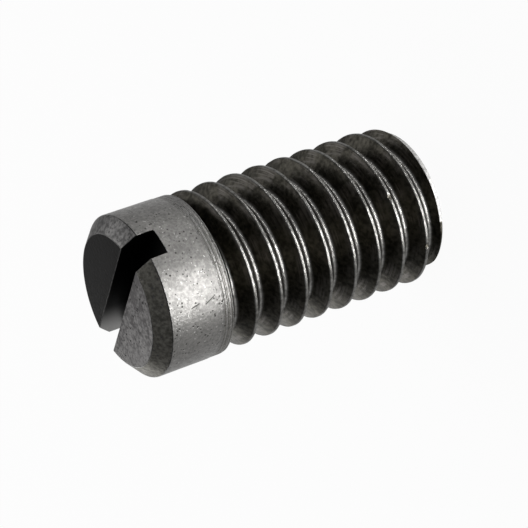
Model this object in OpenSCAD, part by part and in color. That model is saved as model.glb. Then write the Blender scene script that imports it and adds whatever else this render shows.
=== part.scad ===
// Slotted headless bolt: a plain shank with a screwdriver slot, and a coarse right-hand thread
// that runs to a chamfered end. One turned piece. It stands on its threaded end, with the slot
// up, the axis along Z and the slot along Y.

/* [Overall] */
// Length from the threaded end to the slotted face
length = 8.12; // [6:0.01:12]
// Diameter of the plain shank
shank_d = 4.02; // [3.9:0.01:4.4]
// Length of the plain shank, from the slotted face to the uncut end of the thread
shank_len = 1.65; // [1.2:0.05:3.5]
// Length between the shank and the upper edge of the groove, where the groove ends
uncut_len = 0.1; // [0.02:0.01:0.4]

/* [Thread] */
// Outside diameter over the crests
thread_d = 3.98; // [3.6:0.01:4.2]
// Distance from one crest to the next
pitch = 0.7; // [0.5:0.05:0.9]
// Width of the land along each crest, with its rounded edges
crest_w = 0.09; // [0.06:0.01:0.2]
// Rounding of the crest's two edges
crest_round = 0.02; // [0.01:0.005:0.025]
// Width of the rounded bottom of the groove
root_w = 0.14; // [0.06:0.01:0.16]
// Depth of that rounding below the groove's straight flanks
root_dip = 0.025; // [0:0.005:0.05]
// Angle between the two flanks of the groove
flank_angle = 60; // [50:1:70]
// Turns over which the groove fades out before its end
runout_turns = 0.25; // [0.2:0.05:1.5]
// Angle about the axis where the crest rises from the threaded end
start_angle = -92; // [-180:1:180]
// Width and height of the chamfer at the threaded end
end_chamfer = 0.25; // [0.1:0.01:0.38]

/* [Slotted face] */
// Height of the chamfer around the slotted face
face_chamfer_h = 0.33; // [0.1:0.01:0.5]
// Width of the chamfer around the slotted face
face_chamfer_w = 0.36; // [0.1:0.01:0.6]
// Width of the screwdriver slot
slot_w = 0.7; // [0.5:0.01:0.9]
// Depth of the screwdriver slot, from the slotted face
slot_depth = 0.78; // [0.5:0.01:1.2]

/* [Fineness] */
// Facets around one turn of the thread
turn_facets = 48; // [36:12:72]

/* [Hidden] */
$fn = 96;

shank_r = shank_d / 2;
thread_r = thread_d / 2;
end_r = thread_r - end_chamfer;
thread_len = length - shank_len;

// Half the groove's mouth, and the depth that its flanks give it
groove_half = (pitch - crest_w) / 2;
groove_depth = (groove_half - root_w / 2) / tan(flank_angle / 2);

// The groove is at full depth where its centre line is below fade_start, and gone above
// fade_end, where a short uncut length is left between its upper edge and the shank.
fade_end = thread_len - uncut_len - groove_half;
fade_start = fade_end - runout_turns * pitch;

// Section of the thread over one pitch, upwards from the groove's centre line, as
// [height, depth below the crest]: half the root, a flank, the crest and the next flank.
edge_back = crest_round * sin(flank_angle / 2);
edge_down = crest_round * cos(flank_angle / 2);
section = [
    [0, groove_depth + root_dip],
    [root_w / 2, groove_depth],
    [groove_half - edge_back, edge_down],
    [groove_half + crest_round, 0],
    [pitch - groove_half - crest_round, 0],
    [pitch - groove_half + edge_back, edge_down],
    [pitch - root_w / 2, groove_depth]
];
section_n = len(section);

// The helix starts more than a turn below the threaded end and runs on past the thread's
// other end, and the two ends then trim it. The groove lies half a pitch above the crest.
groove_base = (0.5 - start_angle / 360 - 3) * pitch;
turns = ceil((thread_len - groove_base) / pitch) + 1;
lines = turns * section_n;

// Share of the groove's depth that is left where its centre line is at height z
function fade(z) = min(1, max(0, (fade_end - z) / (fade_end - fade_start)));

// Point of the thread's surface in column i around the axis, on line j along it
function thread_point(i, j) =
    let (
        angle = 360 * i / turn_facets,
        groove_z = groove_base + pitch * (floor(j / section_n) + i / turn_facets),
        at = section[j % section_n],
        nearest_groove_z = at[0] > pitch / 2 ? groove_z + pitch : groove_z,
        r = thread_r - at[1] * fade(nearest_groove_z)
    )
    [r * cos(angle), r * sin(angle), groove_z + at[0]];

// Thread of untrimmed length: columns of points around the axis, joined along the helix, where
// the last column meets the first one pitch higher. A point on the axis closes each end.
module helical_thread() {
    last = turn_facets - 1;
    points = [
        for (i = [0:last], j = [0:lines - 1]) thread_point(i, j),
        [0, 0, groove_base - pitch],
        [0, 0, groove_base + pitch * (turns + 2)]
    ];
    low = turn_facets * lines;
    high = low + 1;
    function at(i, j) = i * lines + j;
    faces = [
        for (i = [0:last - 1], j = [0:lines - 2])
            each [[at(i, j), at(i, j + 1), at(i + 1, j + 1)], [at(i, j), at(i + 1, j + 1), at(i + 1, j)]],
        for (j = [0:lines - 2 - section_n], k = [j + section_n])
            each [[at(last, j), at(last, j + 1), at(0, k + 1)], [at(last, j), at(0, k + 1), at(0, k)]],
        for (i = [0:last - 1]) [low, at(i, 0), at(i + 1, 0)],
        [low, at(last, 0), at(0, section_n)],
        for (j = [0:section_n - 1]) [low, at(0, j + 1), at(0, j)],
        for (i = [0:last - 1]) [high, at(i + 1, lines - 1), at(i, lines - 1)],
        [high, at(0, lines - 1), at(last, lines - 1 - section_n)],
        for (j = [lines - 1 - section_n:lines - 2]) [high, at(last, j), at(last, j + 1)]
    ];
    polyhedron(points, faces);
}

// Thread cut off flat and chamfered at the threaded end, and flat where the shank begins
module trimmed_thread() {
    outside_r = thread_r + end_chamfer;
    intersection() {
        helical_thread();
        rotate_extrude()
            polygon([
                [0, 0],
                [end_r, 0],
                [outside_r, outside_r - end_r],
                [outside_r, thread_len],
                [0, thread_len]
            ]);
    }
}

// Plain shank with its chamfered face, and a core that carries it into the thread
module shank() {
    core_r = (thread_r - groove_depth) / 2;
    core_z = thread_len - pitch;
    rotate_extrude()
        polygon([
            [0, core_z],
            [core_r, core_z],
            [core_r, thread_len],
            [shank_r, thread_len],
            [shank_r, length - face_chamfer_h],
            [shank_r - face_chamfer_w, length],
            [0, length]
        ]);
}

// Straight slot across the whole face, along Y
module driver_slot() {
    over = slot_w;
    translate([-slot_w / 2, -shank_r - over, length - slot_depth])
        cube([slot_w, shank_d + 2 * over, slot_depth + over]);
}

module bolt() {
    color("#4a4945")
        difference() {
            union() {
                trimmed_thread();
                shank();
            }
            driver_slot();
        }
}

bolt();
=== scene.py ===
"""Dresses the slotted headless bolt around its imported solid.

One finer mesh of the bolt stands for the solid: a grainy steel shank with a bevelled screwdriver
slot, a finely turned collar, and a blackened right-hand thread with narrow crests worn bright. It
stands on its threaded end, with the axis along Z and the slot along Y.
"""

import logging
import math
from dataclasses import dataclass
from enum import IntEnum
from typing import Any

import bmesh
import bpy
from mathutils import Matrix, Vector, noise


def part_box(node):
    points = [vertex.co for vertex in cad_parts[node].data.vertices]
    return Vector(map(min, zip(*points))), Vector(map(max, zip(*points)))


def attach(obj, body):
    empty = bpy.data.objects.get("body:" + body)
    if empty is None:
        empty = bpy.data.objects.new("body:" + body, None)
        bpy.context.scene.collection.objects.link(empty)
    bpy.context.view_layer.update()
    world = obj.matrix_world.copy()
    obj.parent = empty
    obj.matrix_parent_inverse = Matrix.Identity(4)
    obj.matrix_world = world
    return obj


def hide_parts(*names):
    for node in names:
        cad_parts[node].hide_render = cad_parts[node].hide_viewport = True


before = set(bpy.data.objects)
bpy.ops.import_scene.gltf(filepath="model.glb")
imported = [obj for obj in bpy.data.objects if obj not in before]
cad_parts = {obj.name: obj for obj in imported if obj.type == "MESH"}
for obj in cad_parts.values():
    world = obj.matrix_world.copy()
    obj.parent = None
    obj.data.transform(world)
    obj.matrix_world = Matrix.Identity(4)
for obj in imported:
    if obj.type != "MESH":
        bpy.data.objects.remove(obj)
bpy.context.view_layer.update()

MM = 0.001
TURN = 2 * math.pi
UP = Vector((0.0, 0.0, 1.0))
ORIGIN = Vector((0.0, 0.0, 0.0))

# Points closer than MERGE become one. Faces whose normal's Z is over LEVEL lie level, and those
# whose heights in metres agree to HEIGHT_DIGITS decimals lie on the same level.
MERGE = 1e-4 * MM
LEVEL = 0.999
HEIGHT_DIGITS = 9

FLOAT = "NodeSocketFloat"
VECTOR = "NodeSocketVector"

Colour = tuple[float, float, float, float]
Pair = tuple[float, float]
Node = bpy.types.Node
Socket = bpy.types.NodeSocket
Groups = dict[str, bpy.types.NodeTree]

log = logging.getLogger("bolt")


class Zone(IntEnum):
    """Places on the bolt with a finish of their own, some with painted light and shade. The value is the
    material slot.
    """

    SHANK = 0
    THREAD = 1
    FACE = 2
    CHAMFER = 3
    # The slot: painted shade, with painted light towards its end at +Y.
    SLOT = 4
    EDGE = 5
    END = 6
    # Painted sheen on part of the end's land and chamfer.
    RIM = 7


def grey(level: float) -> Colour:
    """Gives a grey of one level."""
    return (level, level, level, 1.0)


def on_cylinder(radius: float, angle: float, height: float) -> Vector:
    """Gives the point at a radius, an angle about Z in radians and a height."""
    return Vector((radius * math.cos(angle), radius * math.sin(angle), height))


class Graph:
    """Adds nodes to a node tree and joins them."""

    def __init__(self, tree: bpy.types.NodeTree) -> None:
        """Keeps the tree that the nodes go to."""
        self.tree = tree

    def feed(self, target: Socket, value: Any) -> None:
        """Feeds an input.

        Args:
            target: The input.
            value: A socket to link to it, or a plain value.
        """
        if isinstance(value, Socket):
            self.tree.links.new(value, target)
        else:
            target.default_value = value

    def node(self, kind: str, inputs: dict[Any, Any] | None = None, **settings: Any) -> Node:
        """Adds one node.

        Args:
            kind: The node's type name.
            inputs: A socket to link or a plain value, by the input's name or number.
            settings: Properties of the node.

        Returns:
            The new node.
        """
        made = self.tree.nodes.new(kind)
        for name, value in settings.items():
            setattr(made, name, value)
        for key, value in (inputs or {}).items():
            self.feed(made.inputs[key], value)
        return made

    def math(self, operation: str, *values: Any) -> Socket:
        """Adds a Math node and returns its result."""
        return self.node("ShaderNodeMath", dict(enumerate(values)), operation=operation).outputs[0]

    def vector(self, operation: str, first: Any, second: Any) -> Socket:
        """Adds a Vector Math node and returns its vector, or its value where it gives one."""
        made = self.node("ShaderNodeVectorMath", {0: first, 1: second}, operation=operation)
        return made.outputs["Value" if operation == "DOT_PRODUCT" else "Vector"]

    def parts(self, vector: Socket) -> tuple[Socket, ...]:
        """Returns the three numbers of a vector."""
        return tuple(self.node("ShaderNodeSeparateXYZ", {0: vector}).outputs)

    def smooth_step(self, value: Socket, start: Any, end: Any) -> Socket:
        """Adds a smooth rise from 0 to 1.

        Args:
            value: What the rise follows.
            start: The value that gives 0.
            end: The value that gives 1, above start or below it.

        Returns:
            The share from 0 to 1.
        """
        step = self.node(
            "ShaderNodeMapRange",
            {"Value": value, "From Min": start, "From Max": end},
            interpolation_type="SMOOTHSTEP",
        )
        return step.outputs["Result"]

    def spread(self, share: Socket, start: Any, end: Any) -> Socket:
        """Returns the number that lies at a share between two others."""
        step = self.node("ShaderNodeMapRange", {"Value": share, "To Min": start, "To Max": end})
        return step.outputs["Result"]

    def mix(self, share: Any, first: Any, second: Any) -> Socket:
        """Returns the colour that lies at a share between two others."""
        made = self.node("ShaderNodeMix", {0: share, 6: first, 7: second}, data_type="RGBA")
        return made.outputs[2]

    def noise(self, vector: Socket, scale: Any, detail: float) -> Socket:
        """Returns a noise value, mostly from 0.3 to 0.7."""
        made = self.node("ShaderNodeTexNoise", {"Vector": vector, "Scale": scale, "Detail": detail})
        return made.outputs["Fac"]


def new_group(name: str, inputs: dict[str, str], outputs: dict[str, str]) -> tuple[Graph, Node, Node]:
    """Starts a shader node group.

    Args:
        name: The group's name.
        inputs: Each input's socket type.
        outputs: Each output's socket type.

    Returns:
        The group's graph, its input node and its output node.
    """
    tree = bpy.data.node_groups.new(name, "ShaderNodeTree")
    for label, kind in inputs.items():
        tree.interface.new_socket(label, in_out="INPUT", socket_type=kind)
    for label, kind in outputs.items():
        tree.interface.new_socket(label, in_out="OUTPUT", socket_type=kind)
    graph = Graph(tree)
    return graph, graph.node("NodeGroupInput"), graph.node("NodeGroupOutput")


def bolt_place_group() -> bpy.types.NodeTree:
    """Makes the group that gives a point's place on the bolt in millimetres.

    Returns:
        A group with Point, Radius and Height outputs.
    """
    labels = {"Point": VECTOR, "Radius": FLOAT, "Height": FLOAT}
    graph, _, result = new_group("bolt place", {}, labels)
    here = graph.node("ShaderNodeTexCoord").outputs["Object"]
    point = graph.node("ShaderNodeVectorMath", {0: here, "Scale": 1 / MM}, operation="SCALE").outputs[0]
    across, along, height = graph.parts(point)
    flat = graph.node("ShaderNodeCombineXYZ", {0: across, 1: along}).outputs[0]
    radius = graph.node("ShaderNodeVectorMath", {0: flat}, operation="LENGTH").outputs["Value"]
    for label, socket in zip(labels, (point, radius, height)):
        graph.feed(result.inputs[label], socket)
    return graph.tree


@dataclass(frozen=True)
class Grain:
    """Grainy steel: fine speckle, round dark pits in clusters and pale specks."""

    fine_share: float = 0.7
    fine_detail: float = 4.0
    broad_scale: float = 0.3
    broad_detail: float = 3.0
    speckle: Pair = (0.34, 0.66)
    pit_scale: float = 0.62
    pit_cluster: Pair = (0.42, 0.58)
    pit_reach: Pair = (0.14, 0.29)
    pit_core: float = 0.6
    speck_shift: float = 13.0
    speck_scale: float = 1.1
    speck_detail: float = 1.0
    specks: Pair = (0.69, 0.75)

    def group(self) -> bpy.types.NodeTree:
        """Makes the node group.

        Returns:
            A group with Speckle, Pits, Specks and Relief outputs.
        """
        labels = {"Speckle": FLOAT, "Pits": FLOAT, "Specks": FLOAT, "Relief": FLOAT}
        graph, given, result = new_group("steel grain", {"Point": VECTOR, "Scale": FLOAT}, labels)
        point, scale = given.outputs["Point"], given.outputs["Scale"]
        fine = graph.noise(point, scale, self.fine_detail)
        broad = graph.noise(point, graph.math("MULTIPLY", scale, self.broad_scale), self.broad_detail)
        fine_part = graph.math("MULTIPLY", fine, self.fine_share)
        broad_part = graph.math("MULTIPLY", broad, 1 - self.fine_share)
        speckle = graph.smooth_step(graph.math("ADD", fine_part, broad_part), *self.speckle)
        pit_size = graph.math("MULTIPLY", scale, self.pit_scale)
        cells = graph.node("ShaderNodeTexVoronoi", {"Vector": point, "Scale": pit_size})
        reach = graph.spread(graph.smooth_step(broad, *self.pit_cluster), *self.pit_reach)
        core = graph.math("MULTIPLY", reach, self.pit_core)
        pits = graph.smooth_step(cells.outputs["Distance"], reach, core)
        moved = graph.vector("ADD", point, (self.speck_shift,) * 3)
        speck_size = graph.math("MULTIPLY", scale, self.speck_scale)
        specks = graph.smooth_step(graph.noise(moved, speck_size, self.speck_detail), *self.specks)
        relief = graph.math("SUBTRACT", speckle, pits)
        for label, socket in zip(labels, (speckle, pits, specks, relief)):
            graph.feed(result.inputs[label], socket)
        return graph.tree


class Surface:
    """A material under construction: its graph, its shader and the point's place on the bolt."""

    def __init__(self, name: str, groups: Groups) -> None:
        """Starts the material.

        Args:
            name: The material's name.
            groups: The shared node groups by name.
        """
        self.material = bpy.data.materials.new(name)
        self.material.use_nodes = True
        self.material.node_tree.nodes.clear()
        self.graph = Graph(self.material.node_tree)
        self.groups = groups
        self.shader = self.graph.node("ShaderNodeBsdfPrincipled", {"Metallic": 1.0})
        self.graph.node("ShaderNodeOutputMaterial", {"Surface": self.shader.outputs[0]})
        place = self.graph.node("ShaderNodeGroup", node_tree=groups["place"])
        self.point, self.radius, self.height = place.outputs

    def grain(self, scale: float) -> tuple[Socket, ...]:
        """Places the shared grain at a scale and returns its speckle, pits, specks and relief."""
        inputs = {"Point": self.point, "Scale": scale}
        return tuple(self.graph.node("ShaderNodeGroup", inputs, node_tree=self.groups["grain"]).outputs)

    def set(self, **inputs: Any) -> None:
        """Feeds the shader's inputs, named with underscores for spaces."""
        for name, value in inputs.items():
            self.graph.feed(self.shader.inputs[name.replace("_", " ").title()], value)

    def bump(self, height: Socket, distance: float) -> None:
        """Adds fine relief, of a full height in metres, to the shader's normal."""
        bump = self.graph.node("ShaderNodeBump", {"Height": height, "Distance": distance, "Strength": 1.0})
        self.graph.feed(self.shader.inputs["Normal"], bump.outputs[0])


@dataclass(frozen=True)
class Scratch:
    """Straight scratch on the shank between two places, each an angle in degrees and a height."""

    start: Pair
    end: Pair
    width: float = 0.022 * MM
    core: float = 0.4
    fade: float = 0.05 * MM

    def mask(self, surface: Surface, radius: float) -> Socket:
        """Marks the scratch.

        Args:
            surface: The material that takes it.
            radius: The shank's radius.

        Returns:
            1 on the scratch and 0 beside it.
        """
        graph, width, fade = surface.graph, self.width / MM, self.fade / MM
        first, last = (
            on_cylinder(radius, math.radians(angle), height) / MM
            for angle, height in (self.start, self.end)
        )
        run = last - first
        offset = graph.vector("SUBTRACT", surface.point, first)
        along = graph.vector("DOT_PRODUCT", offset, run.normalized())
        square = graph.vector("DOT_PRODUCT", offset, offset)
        square = graph.math("SUBTRACT", square, graph.math("POWER", along, 2.0))
        gap = graph.math("SQRT", graph.math("MAXIMUM", 0.0, square))
        begun = graph.smooth_step(along, 0.0, fade)
        left = graph.smooth_step(along, run.length, run.length - fade)
        line = graph.smooth_step(gap, width, self.core * width)
        return graph.math("MULTIPLY", graph.math("MULTIPLY", begun, left), line)


@dataclass(frozen=True)
class ShankSteel:
    """Bare grainy steel of the plain shank, with fine turned lines around its foot."""

    foot: float
    radius: float
    dark: Colour = (0.1, 0.098, 0.094, 1.0)
    light: Colour = (0.15, 0.1465, 0.141, 1.0)
    speck: Colour = (0.27, 0.266, 0.258, 1.0)
    pit: Colour = (0.035, 0.034, 0.032, 1.0)
    scratches: tuple[Scratch, ...] = (
        Scratch((-139.0, 6.98 * MM), (-140.8, 7.26 * MM)),
        Scratch((-137.1, 6.582 * MM), (-141.4, 6.881 * MM)),
    )
    grain_scale: float = 15.0
    line_stretch: tuple[float, float, float] = (0.6, 0.6, 45.0)
    lines: Pair = (0.5, 0.34)
    line_share: float = 0.3
    line_rise: Pair = (0.1 * MM, -0.15 * MM)
    roughness: Pair = (0.44, 0.36)
    edge_tint: Colour = grey(0.88)
    relief: float = 0.0022 * MM

    def material(self, groups: Groups) -> bpy.types.Material:
        """Builds the material.

        Args:
            groups: The shared node groups by name.

        Returns:
            The finished material.
        """
        surface = Surface("shank_steel", groups)
        graph = surface.graph
        speckle, pits, specks, relief = surface.grain(self.grain_scale)
        stretched = graph.vector("MULTIPLY", surface.point, self.line_stretch)
        lines = graph.smooth_step(graph.noise(stretched, scale=1.0, detail=1.0), *self.lines)
        near_foot = graph.smooth_step(surface.height, *((self.foot + rise) / MM for rise in self.line_rise))
        lines = graph.math("MULTIPLY", lines, graph.spread(near_foot, 0.0, self.line_share))
        colour = graph.mix(speckle, self.dark, self.light)
        colour = graph.mix(lines, colour, self.pit)
        colour = graph.mix(pits, colour, self.pit)
        colour = graph.mix(specks, colour, self.speck)
        for scratch in self.scratches:
            colour = graph.mix(scratch.mask(surface, self.radius), colour, self.pit)
        roughness = graph.spread(speckle, *self.roughness)
        surface.set(base_color=colour, roughness=roughness, specular_tint=self.edge_tint)
        surface.bump(relief, self.relief)
        return surface.material


@dataclass(frozen=True)
class ThreadSteel:
    """Blackened steel of the thread, worn bright along the crests, with a painted sheen of paler steel
    along the roots.
    """

    crest_r: float
    root_r: float
    black: Colour = (0.019, 0.018, 0.0145, 1.0)
    tint: Colour = (0.064, 0.06, 0.05, 1.0)
    stain: Colour = (0.1, 0.093, 0.086, 1.0)
    worn: Colour = (0.16, 0.158, 0.152, 1.0)
    # Painted sheen: paler steel along the roots, so that they mirror the lamps as bright lines.
    root: Colour = (0.19, 0.187, 0.181, 1.0)
    grain_scale: float = 9.0
    broken: Pair = (0.3, 1.0)
    crest_band: Pair = (-0.026 * MM, -0.01 * MM)
    root_band: Pair = (0.03 * MM, 0.006 * MM)
    streak_stretch: float = 22.0
    streak_scale: float = 0.9
    streak_detail: float = 3.0
    streaks: Pair = (0.42, 0.66)
    stain_scale: float = 1.8
    stain_detail: float = 4.0
    stains: Pair = (0.45, 0.62)
    roughness: Pair = (0.36, 0.28)
    edge_tint: Colour = grey(0.62)
    relief: float = 0.0015 * MM

    def stained(self, surface: Surface) -> Socket:
        """Marks the paler streaks around the flanks.

        Args:
            surface: The material that takes them.

        Returns:
            The share of the stain's colour.
        """
        graph = surface.graph
        across, along, _ = graph.parts(surface.point)
        depth = graph.math("MULTIPLY", surface.radius, self.streak_stretch)
        around = graph.node("ShaderNodeCombineXYZ", {0: across, 1: along, 2: depth}).outputs[0]
        streaks = graph.noise(around, self.streak_scale, self.streak_detail)
        stains = graph.noise(surface.point, self.stain_scale, self.stain_detail)
        return graph.math(
            "MULTIPLY", graph.smooth_step(stains, *self.stains), graph.smooth_step(streaks, *self.streaks)
        )

    def material(self, groups: Groups) -> bpy.types.Material:
        """Builds the material.

        Args:
            groups: The shared node groups by name.

        Returns:
            The finished material.
        """
        surface = Surface("thread_steel", groups)
        graph = surface.graph
        speckle, _, _, relief = surface.grain(self.grain_scale)
        broken = graph.spread(speckle, *self.broken)
        at_crest = graph.smooth_step(surface.radius, *((self.crest_r + b) / MM for b in self.crest_band))
        at_root = graph.smooth_step(surface.radius, *((self.root_r + b) / MM for b in self.root_band))
        worn = graph.math("MULTIPLY", at_crest, broken)
        # Painted sheen along the roots.
        painted_root_sheen = graph.math("MULTIPLY", at_root, broken)
        bright = graph.math("MAXIMUM", worn, painted_root_sheen)
        colour = graph.mix(speckle, self.black, self.tint)
        colour = graph.mix(self.stained(surface), colour, self.stain)
        colour = graph.mix(painted_root_sheen, colour, self.root)
        colour = graph.mix(worn, colour, self.worn)
        roughness = graph.spread(bright, *self.roughness)
        surface.set(base_color=colour, roughness=roughness, specular_tint=self.edge_tint)
        dull = graph.math("SUBTRACT", 1.0, bright)
        surface.bump(graph.math("MULTIPLY", relief, dull), self.relief)
        return surface.material


@dataclass(frozen=True)
class Tones:
    """The darkest and the lightest colour of a mottled steel."""

    dark: Colour
    light: Colour


@dataclass(frozen=True)
class PatinaAndPaintedLightSteel:
    """Darkened steel with tones of its own on each side of the slot, far at +X and near at -X, and where
    wanted a painted light gradient that lightens it towards -X and +Y.
    """

    name: str
    far: Tones
    near: Tones
    roughness: float = 0.42
    edge_tint: Colour = grey(1.0)
    painted_light_strength: float = 0.0
    slope_x: float = 0.8
    slope_y: float = 0.6
    slope_start: float = 0.8
    grain_scale: float = 12.0
    relief: float = 0.002 * MM

    def material(self, groups: Groups) -> bpy.types.Material:
        """Builds the material.

        Args:
            groups: The shared node groups by name.

        Returns:
            The finished material.
        """
        surface = Surface(self.name, groups)
        graph = surface.graph
        speckle, pits, _, relief = surface.grain(self.grain_scale)
        across, along, _ = graph.parts(surface.point)
        # Painted light: a gradient that lightens the steel towards -X and +Y.
        down = graph.math("MULTIPLY", across, self.slope_x)
        painted_light_gradient = graph.math("SUBTRACT", graph.math("MULTIPLY", along, self.slope_y), down)
        painted_light_gradient = graph.math("MULTIPLY", graph.math("SUBTRACT", painted_light_gradient, self.slope_start), self.painted_light_strength)
        mottle_and_painted_light = graph.math("ADD", speckle, painted_light_gradient)
        far = graph.mix(mottle_and_painted_light, self.far.dark, self.far.light)
        near = graph.mix(mottle_and_painted_light, self.near.dark, self.near.light)
        colour = graph.mix(graph.math("GREATER_THAN", across, 0.0), near, far)
        colour = graph.mix(pits, colour, self.far.dark)
        surface.set(base_color=colour, roughness=self.roughness, specular_tint=self.edge_tint)
        surface.bump(relief, self.relief)
        return surface.material


@dataclass(frozen=True)
class SlotPaintedShadeAndLight:
    """The slot, painted near-black as painted shade, with painted light that turns it paler towards its end
    at +Y.
    """

    # Painted shade: the slot's walls and floor are painted near-black.
    black: Colour = grey(0.004)
    pale: Colour = (0.26, 0.257, 0.252, 1.0)
    fade: Pair = (0.7 * MM, 2.0 * MM)
    roughness: float = 0.42
    edge_tint: Colour = grey(0.6)

    def material(self, groups: Groups) -> bpy.types.Material:
        """Builds the material.

        Args:
            groups: The shared node groups by name.

        Returns:
            The finished material.
        """
        surface = Surface("slot_painted_shade_and_light", groups)
        graph = surface.graph
        _, along, _ = graph.parts(surface.point)
        # Painted light: the slot turns paler towards its end at +Y.
        pale = graph.smooth_step(along, *(place / MM for place in self.fade))
        colour = graph.mix(pale, self.black, self.pale)
        surface.set(base_color=colour, roughness=self.roughness, specular_tint=self.edge_tint)
        return surface.material


@dataclass(frozen=True)
class WornEdge:
    """Slightly broken steel along the head's edges."""

    dark: Colour = (0.02, 0.0195, 0.019, 1.0)
    bright: Colour = (0.1, 0.098, 0.095, 1.0)
    grain_scale: float = 8.0
    roughness: float = 0.34

    def material(self, groups: Groups) -> bpy.types.Material:
        """Builds the material.

        Args:
            groups: The shared node groups by name.

        Returns:
            The finished material.
        """
        surface = Surface("worn_edge", groups)
        speckle, _, _, _ = surface.grain(self.grain_scale)
        colour = surface.graph.mix(speckle, self.dark, self.bright)
        surface.set(base_color=colour, roughness=self.roughness)
        return surface.material


def mesh_object(name: str, bm: bmesh.types.BMesh) -> bpy.types.Object:
    """Turns a bmesh into an object of the scene, with its faces pointing outwards.

    Args:
        name: The object's name.
        bm: The finished bmesh, which is freed.

    Returns:
        The new object.
    """
    bmesh.ops.recalc_face_normals(bm, faces=bm.faces)
    mesh = bpy.data.meshes.new(name)
    bm.to_mesh(mesh)
    bm.free()
    made = bpy.data.objects.new(name, mesh)
    bpy.context.scene.collection.objects.link(made)
    return made


def combine(base: bpy.types.Object, other: bpy.types.Object, operation: str) -> None:
    """Joins, cuts or trims one closed mesh with another, which is then removed.

    Args:
        base: The object that keeps the result.
        other: The object that is used up.
        operation: UNION, DIFFERENCE or INTERSECT.
    """
    step = base.modifiers.new(operation.lower(), "BOOLEAN")
    step.operation, step.object, step.solver = operation, other, "MANIFOLD"
    graph = bpy.context.evaluated_depsgraph_get()
    base.data = bpy.data.meshes.new_from_object(base.evaluated_get(graph), depsgraph=graph)
    base.modifiers.clear()
    bpy.data.objects.remove(other)


def lathe(bm: bmesh.types.BMesh, outline: list[Pair], steps: int) -> None:
    """Spins an outline of (radius, height) points about Z into a closed solid.

    Args:
        bm: The bmesh that takes the solid.
        outline: Points from the axis, round the section, back to the axis.
        steps: Facets around the axis.
    """
    points = [bm.verts.new((r, 0.0, z)) for r, z in outline]
    edges = [bm.edges.new(pair) for pair in zip(points, points[1:])]
    bmesh.ops.spin(
        bm, geom=points + edges, cent=ORIGIN, axis=UP, angle=TURN, steps=steps, use_merge=True
    )
    bmesh.ops.remove_doubles(bm, verts=bm.verts, dist=MERGE)
    flat = [f for f in bm.faces if abs(f.normal.z) > LEVEL]
    near = 10**-HEIGHT_DIGITS
    for height in {round(f.calc_center_median().z, HEIGHT_DIGITS) for f in flat}:
        level = [f for f in flat if f.is_valid and abs(f.calc_center_median().z - height) < near]
        bmesh.ops.dissolve_faces(bm, faces=level, use_verts=True)


@dataclass(frozen=True)
class Nick:
    """Small dent in the thread, at an angle about the axis in degrees and a height."""

    angle: float
    height: float
    across: float
    along: float
    depth: float

    def cut(self, angle: float, height: float, radius: float) -> float:
        """Gives the dent's depth at one point.

        Args:
            angle: The point's angle about the axis, in radians.
            height: The point's height.
            radius: The radius at which the dent's width counts.

        Returns:
            The depth in metres.
        """
        turn = angle - math.radians(self.angle)
        across = (turn - TURN * round(turn / TURN)) * radius / self.across
        along = (height - self.height) / self.along
        return self.depth * math.exp(-across * across - along * along)


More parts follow.
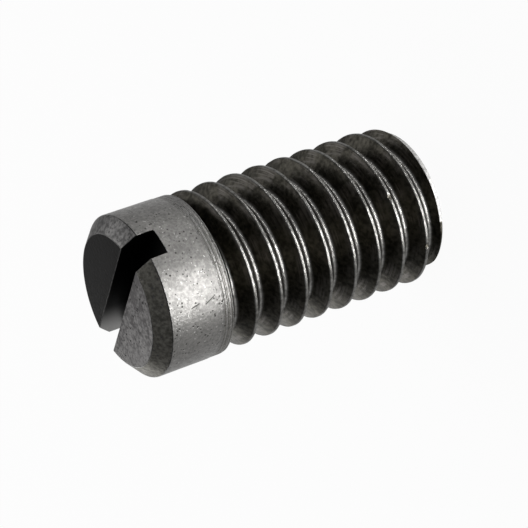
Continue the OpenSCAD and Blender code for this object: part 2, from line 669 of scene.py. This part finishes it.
@dataclass
class Thread:
    """Right-hand thread with narrow crests, rounded roots and a chamfered end."""

    length: float = 6.47 * MM
    crest_r: float = 1.99 * MM
    pitch: float = 0.7 * MM
    groove_half: float = 0.31 * MM
    root_round: float = 0.12 * MM
    crest_round: float = 0.02 * MM
    flank: float = math.radians(30)
    start_angle: float = math.radians(-105)
    end_r: float = 1.79 * MM
    end_land: float = 0.08 * MM
    end_edge: float = 0.015 * MM
    wear: float = 0.008 * MM
    wear_reach: float = 0.05 * MM
    wear_scale: float = 3.0
    fine_wear: float = 0.4
    fine_wear_scale: float = 8.0
    overlap: float = 0.1 * MM
    turns_below: int = 3
    columns: int = 240
    root_steps: int = 4
    flank_steps: int = 3
    crest_steps: int = 6
    shoulder_share: float = 1.2
    nicks: tuple[Nick, ...] = (
        Nick(angle=-114, height=1.38 * MM, across=0.05 * MM, along=0.08 * MM, depth=0.06 * MM),
        Nick(angle=-158, height=0.59 * MM, across=0.04 * MM, along=0.08 * MM, depth=0.05 * MM),
    )

    @property
    def root_r(self) -> float:
        """Radius at the bottom of the groove."""
        return self.crest_r - self.depth(0.0)

    @property
    def groove_base(self) -> float:
        """Height of a groove's centre line at angle 0, well below the end."""
        return (0.5 - self.start_angle / TURN - self.turns_below) * self.pitch

    def line_offsets(self) -> list[float]:
        """Lists the swept lines' heights over one pitch, from the groove's centre line.

        Returns:
            Rising offsets from zero to just under one pitch.
        """
        crest = self.pitch / 2
        root_end = self.root_round * math.cos(self.flank)
        shoulder = self.groove_half - self.shoulder_share * self.crest_round
        half = [root_end * i / self.root_steps for i in range(self.root_steps)]
        half += [root_end + (shoulder - root_end) * i / self.flank_steps for i in range(self.flank_steps)]
        half += [shoulder + (crest - shoulder) * i / self.crest_steps for i in range(self.crest_steps)]
        return half + [crest] + [self.pitch - h for h in reversed(half[1:])]

    def end_radius(self, height: float) -> float:
        """Radius of the plain land and the chamfer at a height above the flat end."""
        return self.end_r + max(0.0, height - self.end_land)

    def depth(self, offset: float) -> float:
        """Gives the cut below the crest at one point.

        Args:
            offset: Height above the nearest groove's centre line, negative below it.

        Returns:
            The depth in metres.
        """
        away, edge = abs(offset), self.root_round * math.cos(self.flank)
        valley = (self.groove_half - max(away, edge)) / math.tan(self.flank)
        if away < edge:
            valley += math.sqrt(self.root_round**2 - away**2) - self.root_round * math.sin(self.flank)
        return (valley + math.hypot(valley, self.crest_round)) / 2

    def worn(self, depth: float, angle: float, height: float) -> float:
        """Gives the extra wear and dents near the crest at one point.

        Args:
            depth: The thread's own depth there.
            angle: The point's angle about the axis, in radians.
            height: The point's height.

        Returns:
            The extra depth in metres.
        """
        place = on_cylinder(self.crest_r, angle, height) / MM
        share = math.exp(-depth / self.wear_reach)
        dents = max(0.0, noise.noise(place * self.wear_scale))
        dents += self.fine_wear * max(0.0, noise.noise(place * self.fine_wear_scale))
        nicks = sum(nick.cut(angle, height, self.crest_r) for nick in self.nicks)
        return share * (self.wear * dents + nicks)

    def sweep(self, bm: bmesh.types.BMesh) -> None:
        """Sweeps a line of points around the axis along the helix, at the crest's radius.

        Args:
            bm: The bmesh that takes the swept surface.
        """
        turns = math.ceil((self.length - self.groove_base) / self.pitch) + 1
        offsets = self.line_offsets()
        points = [
            bm.verts.new((self.crest_r, 0.0, self.groove_base + turn * self.pitch + offset))
            for turn in range(turns)
            for offset in offsets
        ]
        edges = [bm.edges.new(pair) for pair in zip(points, points[1:])]
        bmesh.ops.spin(
            bm,
            geom=points + edges,
            cent=ORIGIN,
            axis=UP,
            dvec=UP * self.pitch / self.columns,
            angle=TURN,
            steps=self.columns,
        )
        bmesh.ops.remove_doubles(bm, verts=bm.verts, dist=MERGE)

    def carve(self, bm: bmesh.types.BMesh) -> None:
        """Moves every point in to the thread's section at its place on the helix.

        Args:
            bm: The swept surface.
        """
        for vert in bm.verts:
            angle = math.atan2(vert.co.y, vert.co.x)
            rise = (vert.co.z - self.groove_base) / self.pitch - angle / TURN
            offset = (rise - round(rise)) * self.pitch
            depth = self.depth(offset)
            scale = 1 - (depth + self.worn(depth, angle, vert.co.z)) / self.crest_r
            vert.co.x *= scale
            vert.co.y *= scale

    def build(self) -> bpy.types.Object:
        """Builds the trimmed thread.

        Returns:
            A closed mesh that runs a little way into the shank.
        """
        bm = bmesh.new()
        self.sweep(bm)
        self.carve(bm)
        for height, normal in ((self.length + self.overlap, UP), (-self.overlap, -UP)):
            everything = bm.verts[:] + bm.edges[:] + bm.faces[:]
            bmesh.ops.bisect_plane(
                bm, geom=everything, plane_co=UP * height, plane_no=normal, clear_outer=True
            )
        bmesh.ops.holes_fill(bm, edges=[e for e in bm.edges if e.is_boundary], sides=0)
        thread = mesh_object("thread", bm)
        envelope = bmesh.new()
        lathe(envelope, self.envelope(), self.columns)
        combine(thread, mesh_object("envelope", envelope), "INTERSECT")
        return thread

    def envelope(self) -> list[Pair]:
        """Outlines the turned blank that trims the thread.

        Returns:
            Points of (radius, height): the flat end, a plain land and a chamfer.
        """
        outside = self.crest_r + self.overlap
        top = self.length + 2 * self.overlap
        return [
            (0.0, 0.0),
            (self.end_r - self.end_edge, 0.0),
            (self.end_r, self.end_edge),
            (self.end_r, self.end_land),
            (outside, self.end_land + outside - self.end_r),
            (outside, top),
            (0.0, top),
        ]


@dataclass
class Head:
    """Plain shank with its chamfered face, its screwdriver slot and the turned collar at its foot."""

    length: float
    radius: float
    foot: float
    core_r: float
    collar_foot: float = 6.14 * MM
    collar_r: float = 2.0 * MM
    collar_edge: float = 0.012 * MM
    collar_flank: float = math.radians(30)
    step_slope: float = 3.0
    line_count: int = 8
    line_depth: float = 0.007 * MM
    line_part: float = 0.7
    line_change: float = 0.35
    line_beat: float = 2.4
    chamfer_h: float = 0.33 * MM
    chamfer_w: float = 0.36 * MM
    slot_w: float = 0.7 * MM
    slot_depth: float = 0.78 * MM
    edge_round: float = 0.018 * MM
    edge_segments: int = 3
    edge_angle: float = math.radians(25)
    floor_gap: float = 0.01 * MM
    columns: int = 240

    @property
    def face_r(self) -> float:
        """Radius of the flat face inside the chamfer."""
        return self.radius - self.chamfer_w

    @property
    def slot_floor(self) -> float:
        """Height of the slot's floor."""
        return self.length - self.slot_depth

    def collar_lines(self) -> list[Pair]:
        """Outlines the fine turned lines around the collar.

        Returns:
            Points of (radius, height), three for each line: its two sides and its bottom.
        """
        start = self.collar_foot + 2 * self.collar_edge
        step = (self.foot - start) / self.line_count
        points = []
        for i in range(self.line_count):
            low = start + i * step
            cut = self.line_depth * (1 - self.line_change + self.line_change * math.cos(self.line_beat * i))
            points += [
                (self.collar_r, low),
                (self.collar_r - cut, low + self.line_part / 2 * step),
                (self.collar_r, low + self.line_part * step),
            ]
        return points

    def outline(self) -> list[Pair]:
        """Outlines the blank.

        Returns:
            Points of (radius, height): a core inside the thread, the collar with its fine lines,
            the shank, the chamfer and the face.
        """
        edge = self.collar_edge
        core_z = self.collar_foot - (self.collar_r - self.core_r) * math.tan(self.collar_flank)
        return [
            (0.0, core_z),
            (self.core_r, core_z),
            (self.collar_r - edge, self.collar_foot - edge / 2),
            (self.collar_r - edge / 4, self.collar_foot + edge / 4),
            (self.collar_r, self.collar_foot + edge),
            *self.collar_lines(),
            (self.collar_r, self.foot),
            (self.radius, self.foot + self.step_slope * (self.radius - self.collar_r)),
            (self.radius, self.length - self.chamfer_h),
            (self.face_r, self.length),
            (0.0, self.length),
        ]

    def build(self) -> bpy.types.Object:
        """Builds the slotted shank.

        Returns:
            A closed mesh with sharp edges.
        """
        bm = bmesh.new()
        lathe(bm, self.outline(), self.columns)
        head = mesh_object("head", bm)
        # The cutter is centred on the face, so half its height is the slot's depth.
        cutter = bmesh.new()
        bmesh.ops.create_cube(cutter, size=1.0)
        bmesh.ops.scale(cutter, vec=(self.slot_w, 3 * self.radius, 2 * self.slot_depth), verts=cutter.verts)
        bmesh.ops.translate(cutter, vec=UP * self.length, verts=cutter.verts)
        combine(head, mesh_object("slot", cutter), "DIFFERENCE")
        return head

    def round_edges(self, head: bpy.types.Object) -> None:
        """Rounds the edges of the face, the chamfer and the slot's mouth, and marks them.

        Args:
            head: The slotted shank with its materials.
        """
        bm = bmesh.new()
        bm.from_mesh(head.data)
        edges = [
            e
            for e in bm.edges
            if e.is_manifold
            and e.calc_face_angle() > self.edge_angle
            and max(v.co.z for v in e.verts) > self.slot_floor + self.floor_gap
        ]
        made = bmesh.ops.bevel(
            bm,
            geom=edges,
            offset=self.edge_round,
            offset_type="OFFSET",
            segments=self.edge_segments,
            profile=0.5,
            affect="EDGES",
            material=-1,
            clamp_overlap=True,
        )
        for face in made["faces"]:
            face.material_index = Zone.EDGE
        bm.to_mesh(head.data)
        bm.free()


@dataclass
class Bolt:
    """The whole bolt: thread and slotted shank in one closed mesh."""

    thread: Thread
    head: Head
    name: str = "slotted_bolt"
    sharp: float = math.radians(32)
    # Painted sheen: the end's land and chamfer take a paler steel only between these angles, and the
    # thread's finish elsewhere.
    painted_sheen_sector: Pair = (math.radians(-146), math.radians(70))
    rim_height: float = 0.3 * MM
    near: float = 0.004 * MM
    rim_near: float = 0.012 * MM
    facing_down: float = -0.9
    facing_up: float = 0.95
    facing_slope: float = 0.3
    shortest_edge: float = 1e-5 * MM

    def zone(self, face: bmesh.types.BMFace) -> Zone:
        """Says which place of the bolt a face belongs to, by its middle and its normal's Z.

        Args:
            face: A face of the joined mesh.

        Returns:
            The place.
        """
        at = face.calc_center_median()
        radius = math.hypot(at.x, at.y)
        if face.material_index == Zone.EDGE:
            return Zone.EDGE
        if at.z < self.near and face.normal.z < self.facing_down:
            return Zone.END
        # Painted sheen on the end's land and chamfer within one range of angles.
        if at.z < self.rim_height and abs(radius - self.thread.end_radius(at.z)) < self.rim_near:
            low, high = self.painted_sheen_sector
            return Zone.RIM if low < math.atan2(at.y, at.x) < high else Zone.THREAD
        if at.z < self.head.collar_foot:
            return Zone.THREAD
        if abs(at.x) < self.head.slot_w / 2 + self.near and at.z > self.head.slot_floor - self.near:
            return Zone.SLOT
        if face.normal.z > self.facing_up:
            return Zone.FACE
        if face.normal.z > self.facing_slope and radius < self.head.radius - self.near:
            return Zone.CHAMFER
        return Zone.SHANK

    def build(self, materials: dict[Zone, bpy.types.Material]) -> bpy.types.Object:
        """Builds the bolt and dresses it.

        Args:
            materials: The material for each place.

        Returns:
            The finished piece.
        """
        bolt, head = self.thread.build(), self.head.build()
        for part in (bolt, head):
            part.data.materials.clear()
            for zone in Zone:
                part.data.materials.append(materials[zone])
        self.head.round_edges(head)
        combine(bolt, head, "UNION")
        bolt.name = bolt.data.name = self.name
        bm = bmesh.new()
        bm.from_mesh(bolt.data)
        bmesh.ops.dissolve_degenerate(bm, dist=self.shortest_edge, edges=bm.edges)
        for face in bm.faces:
            face.material_index = self.zone(face)
            face.smooth = True
        bm.to_mesh(bolt.data)
        bm.free()
        bolt.data.set_sharp_from_angle(angle=self.sharp)
        return bolt


@dataclass(frozen=True)
class Lamp:
    """Soft lamp: its direction in degrees, its distance and size in metres, and its brightness."""

    name: str
    azimuth: float
    elevation: float
    distance: float
    width: float
    height: float
    radiance: float


@dataclass
class Studio:
    """White floor, soft lamps and the camera.

    The upright walls of the bolt mirror what lies below the floor, so two lamps hang there.
    """

    eye: Vector
    forward: Vector
    right: Vector
    lens: float = 157.331
    sensor: float = 36.0
    shift: Pair = (-0.00464, 0.01289)
    clip: Pair = (0.001, 10.0)
    floor_half: float = 0.6
    floor_paint: Colour = grey(0.8)
    floor_white: float = 0.95
    aim: float = 4 * MM
    sky: Colour = (0.97, 0.98, 1.0, 1.0)
    sky_strength: float = 0.24
    lamps: tuple[Lamp, ...] = (
        Lamp("key", azimuth=-142, elevation=-27, distance=0.12, width=0.12, height=0.10, radiance=8.2),
        Lamp("side", azimuth=-70, elevation=-27, distance=0.12, width=0.18, height=0.10, radiance=1.0),
        Lamp("fill", azimuth=34, elevation=50, distance=0.15, width=0.2, height=0.18, radiance=1.3),
        Lamp("rear", azimuth=84, elevation=8, distance=0.15, width=0.08, height=0.05, radiance=3.2),
    )

    def camera(self) -> None:
        """Sets the camera at the photograph's viewing angle."""
        data = bpy.data.cameras.new("camera")
        data.lens, data.sensor_width = self.lens, self.sensor
        data.shift_x, data.shift_y = self.shift
        data.clip_start, data.clip_end = self.clip
        up = self.right.cross(self.forward)
        turn = Matrix((self.right, up, -self.forward)).transposed()
        camera = bpy.data.objects.new("camera", data)
        camera.matrix_world = Matrix.Translation(self.eye) @ turn.to_4x4()
        bpy.context.scene.collection.objects.link(camera)
        bpy.context.scene.camera = camera

    def floor(self) -> None:
        """Lays a white floor, which the lamps below shine through and the bolt's shadow falls on."""
        bm = bmesh.new()
        bmesh.ops.create_grid(bm, x_segments=1, y_segments=1, size=self.floor_half)
        floor = mesh_object("floor", bm)
        material = bpy.data.materials.new("white_floor")
        material.use_nodes = True
        material.node_tree.nodes.clear()
        graph = Graph(material.node_tree)
        path = graph.node("ShaderNodeLightPath")
        seen = graph.math("MAXIMUM", path.outputs["Is Camera Ray"], path.outputs["Is Glossy Ray"])
        seen = graph.math("MAXIMUM", seen, path.outputs["Is Transmission Ray"])
        share = graph.math("MULTIPLY", seen, self.floor_white)
        paint = graph.node("ShaderNodeBsdfDiffuse", {"Color": self.floor_paint})
        white = graph.node("ShaderNodeEmission", {"Color": grey(1.0), "Strength": 1.0})
        both = graph.node("ShaderNodeMixShader", {0: share, 1: paint.outputs[0], 2: white.outputs[0]})
        graph.node("ShaderNodeOutputMaterial", {"Surface": both.outputs[0]})
        floor.data.materials.append(material)
        floor.visible_shadow = False

    def lamp(self, lamp: Lamp) -> None:
        """Hangs a soft lamp that faces the bolt.

        Args:
            lamp: Its place, size and brightness.
        """
        data = bpy.data.lights.new(lamp.name, "AREA")
        data.shape, data.size, data.size_y = "RECTANGLE", lamp.width, lamp.height
        data.energy = lamp.radiance * math.pi * lamp.width * lamp.height
        # Rays that the bolt mirrors downwards end at the floor, so a lamp below it is sampled directly.
        data.cycles.use_multiple_importance_sampling = lamp.elevation > 0
        elevation = math.radians(lamp.elevation)
        away = on_cylinder(math.cos(elevation), math.radians(lamp.azimuth), math.sin(elevation))
        made = bpy.data.objects.new(lamp.name, data)
        made.location = away * lamp.distance + UP * self.aim
        made.rotation_mode = "QUATERNION"
        made.rotation_quaternion = (-away).to_track_quat("-Z", "Y")
        bpy.context.scene.collection.objects.link(made)

    def world(self) -> None:
        """Fills the space around the bolt with plain light."""
        world = bpy.data.worlds.new("studio")
        world.use_nodes = True
        world.node_tree.nodes.clear()
        graph = Graph(world.node_tree)
        light = graph.node("ShaderNodeBackground", {"Color": self.sky, "Strength": self.sky_strength})
        graph.node("ShaderNodeOutputWorld", {"Surface": light.outputs[0]})
        bpy.context.scene.world = world

    def build(self) -> None:
        """Sets up the camera, the floor and the light."""
        self.camera()
        self.floor()
        for lamp in self.lamps:
            self.lamp(lamp)
        self.world()
        bpy.context.scene.view_settings.view_transform = "Standard"


def finishes(thread: Thread, head: Head) -> dict[Zone, bpy.types.Material]:
    """Builds every finish.

    Args:
        thread: The thread, whose crests are worn and whose roots carry a painted sheen.
        head: The shank, whose foot is finely turned.

    Returns:
        The material for each place of the bolt.
    """
    groups = {"place": bolt_place_group(), "grain": Grain().group()}
    end_tones = Tones((0.05, 0.048, 0.045, 1.0), (0.1, 0.098, 0.092, 1.0))
    # Painted sheen on part of the end's land and chamfer.
    rim_sheen_tones = Tones((0.21, 0.207, 0.203, 1.0), (0.42, 0.416, 0.407, 1.0))
    face = PatinaAndPaintedLightSteel(
        "face_patina_and_painted_light",
        far=Tones((0.006, 0.0058, 0.0055, 1.0), (0.014, 0.0135, 0.0125, 1.0)),
        near=Tones((0.064, 0.061, 0.061, 1.0), (0.185, 0.18, 0.177, 1.0)),
        edge_tint=grey(0.64),
        # A painted light gradient across the face.
        painted_light_strength=0.5,
    )
    chamfer = PatinaAndPaintedLightSteel(
        "chamfer_patina",
        far=Tones((0.078, 0.076, 0.075, 1.0), (0.205, 0.201, 0.197, 1.0)),
        near=Tones((0.075, 0.072, 0.063, 1.0), (0.175, 0.169, 0.15, 1.0)),
        edge_tint=grey(0.6),
    )
    return {
        Zone.SHANK: ShankSteel(head.foot, head.radius).material(groups),
        Zone.THREAD: ThreadSteel(thread.crest_r, thread.root_r).material(groups),
        Zone.FACE: face.material(groups),
        Zone.CHAMFER: chamfer.material(groups),
        Zone.SLOT: SlotPaintedShadeAndLight().material(groups),
        Zone.EDGE: WornEdge().material(groups),
        Zone.END: PatinaAndPaintedLightSteel("end_steel", end_tones, end_tones).material(groups),
        Zone.RIM: PatinaAndPaintedLightSteel("rim_painted_sheen", rim_sheen_tones, rim_sheen_tones, roughness=0.58).material(groups),
    }


def main() -> None:
    """Builds the bolt and the studio around it."""
    logging.basicConfig(level=logging.INFO, format="%(name)s: %(message)s")
    low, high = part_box("bolt")
    # A hair under half the narrower side keeps the round shank inside the solid's faceted box.
    inside = 0.4999
    core_gap = 0.05 * MM
    thread = Thread()
    head = Head(
        length=high.z - low.z,
        radius=inside * min(high.x - low.x, high.y - low.y),
        foot=thread.length,
        core_r=thread.root_r - core_gap,
    )
    piece = Bolt(thread, head).build(finishes(thread, head))
    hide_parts("bolt")
    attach(piece, "root")
    log.info("%s: %d faces", piece.name, len(piece.data.polygons))
    Studio(
        eye=Vector((-24.2492, -43.5981, 29.1121)) * MM,
        forward=Vector((0.426687, 0.786132, -0.44714)),
        right=Vector((-0.496012, -0.210004, -0.842538)),
    ).build()


if __name__ == "__main__":
    main()
